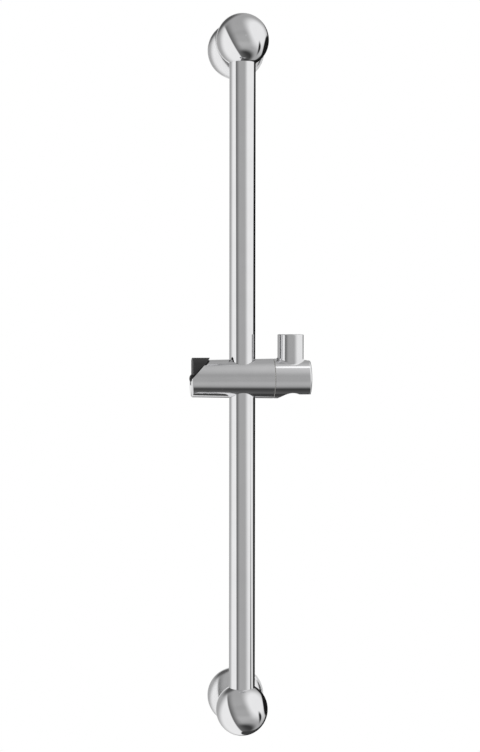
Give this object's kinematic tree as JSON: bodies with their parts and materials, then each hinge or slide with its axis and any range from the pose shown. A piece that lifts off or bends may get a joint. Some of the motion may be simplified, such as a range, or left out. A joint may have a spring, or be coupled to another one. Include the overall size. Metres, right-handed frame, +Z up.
{
  "type": "shower slide rail",
  "caption": "Wall-mounted chrome shower slide rail: round tube between ball brackets, with a cam-lever clamped slider that carries a tilting conical handset holder.",
  "frame": {"origin": "on the wall plane, midway between the upper and lower fixings", "axes": "+Z up along the rail, +Y into the wall, +X to the right of somebody facing the wall"},
  "size_m": [0.1154, 0.08, 0.696],
  "materials": {
    "rail_chrome": "mirror-polished chrome plate on steel tube",
    "bracket_chrome": "mirror-polished chrome plate on castings and pressings",
    "slider_chrome": "soft-polished chrome plate",
    "lever_plastic": "black moulded plastic, fine grain",
    "guide_nylon": "natural nylon",
    "seal_rubber": "black rubber",
    "plate_metal": "plain die-cast zinc",
    "screw_steel": "stainless steel"
  },
  "bodies": {
    "rail": {"rail_tube": "rail_chrome", "upper_ball_bracket": "bracket_chrome", "upper_rosette": "bracket_chrome", "upper_wall_plate": "plate_metal", "upper_rosette_seal": "seal_rubber", "lower_ball_bracket": "bracket_chrome", "lower_rosette": "bracket_chrome", "lower_wall_plate": "plate_metal", "lower_rosette_seal": "seal_rubber", "neck_grub_screws": "screw_steel", "tube_grub_screws": "screw_steel"},
    "guide": {"upper_guide_ring": "guide_nylon", "lower_guide_ring": "guide_nylon"},
    "slider": {"slider_body": "slider_chrome", "lever_pin": "screw_steel", "plunger_spring": "screw_steel", "tilt_disc_spring": "screw_steel", "tilt_friction_ring": "guide_nylon"},
    "plunger": {"brake_plunger": "guide_nylon", "brake_pad": "seal_rubber"},
    "lever": {"clamp_lever": "lever_plastic"},
    "holder": {"handset_holder": "slider_chrome", "tilt_screw": "screw_steel"}
  },
  "joints": [
    {"name": "height_slide", "type": "slide", "parent": "rail", "child": "guide", "axis": [0, 0, 1], "range_m": [-0.2702, 0.2722]},
    {"name": "swivel", "type": "hinge", "parent": "guide", "child": "slider", "pos_m": [0, -0.055, -0.001], "axis": [0, 0, 1], "range_deg": [-30, 30]},
    {"name": "lever_swing", "type": "hinge", "parent": "slider", "child": "lever", "pos_m": [-0.0456, -0.055, -0.0016], "axis": [0, -1, 0], "range_deg": [0, 90]},
    {"name": "brake_stroke", "type": "slide", "parent": "slider", "child": "plunger", "axis": [-1, 0, 0], "range_m": [0, 0.0012], "deforming": ["plunger_spring"]},
    {"name": "tilt", "type": "hinge", "parent": "slider", "child": "holder", "pos_m": [0, -0.055, -0.001], "axis": [1, 0, 0], "range_deg": [-20, 40]}
  ],
  "couplings": [
    {"joint": "brake_stroke", "follows": "lever_swing", "m_per_rad": 0.000763}
  ]
}
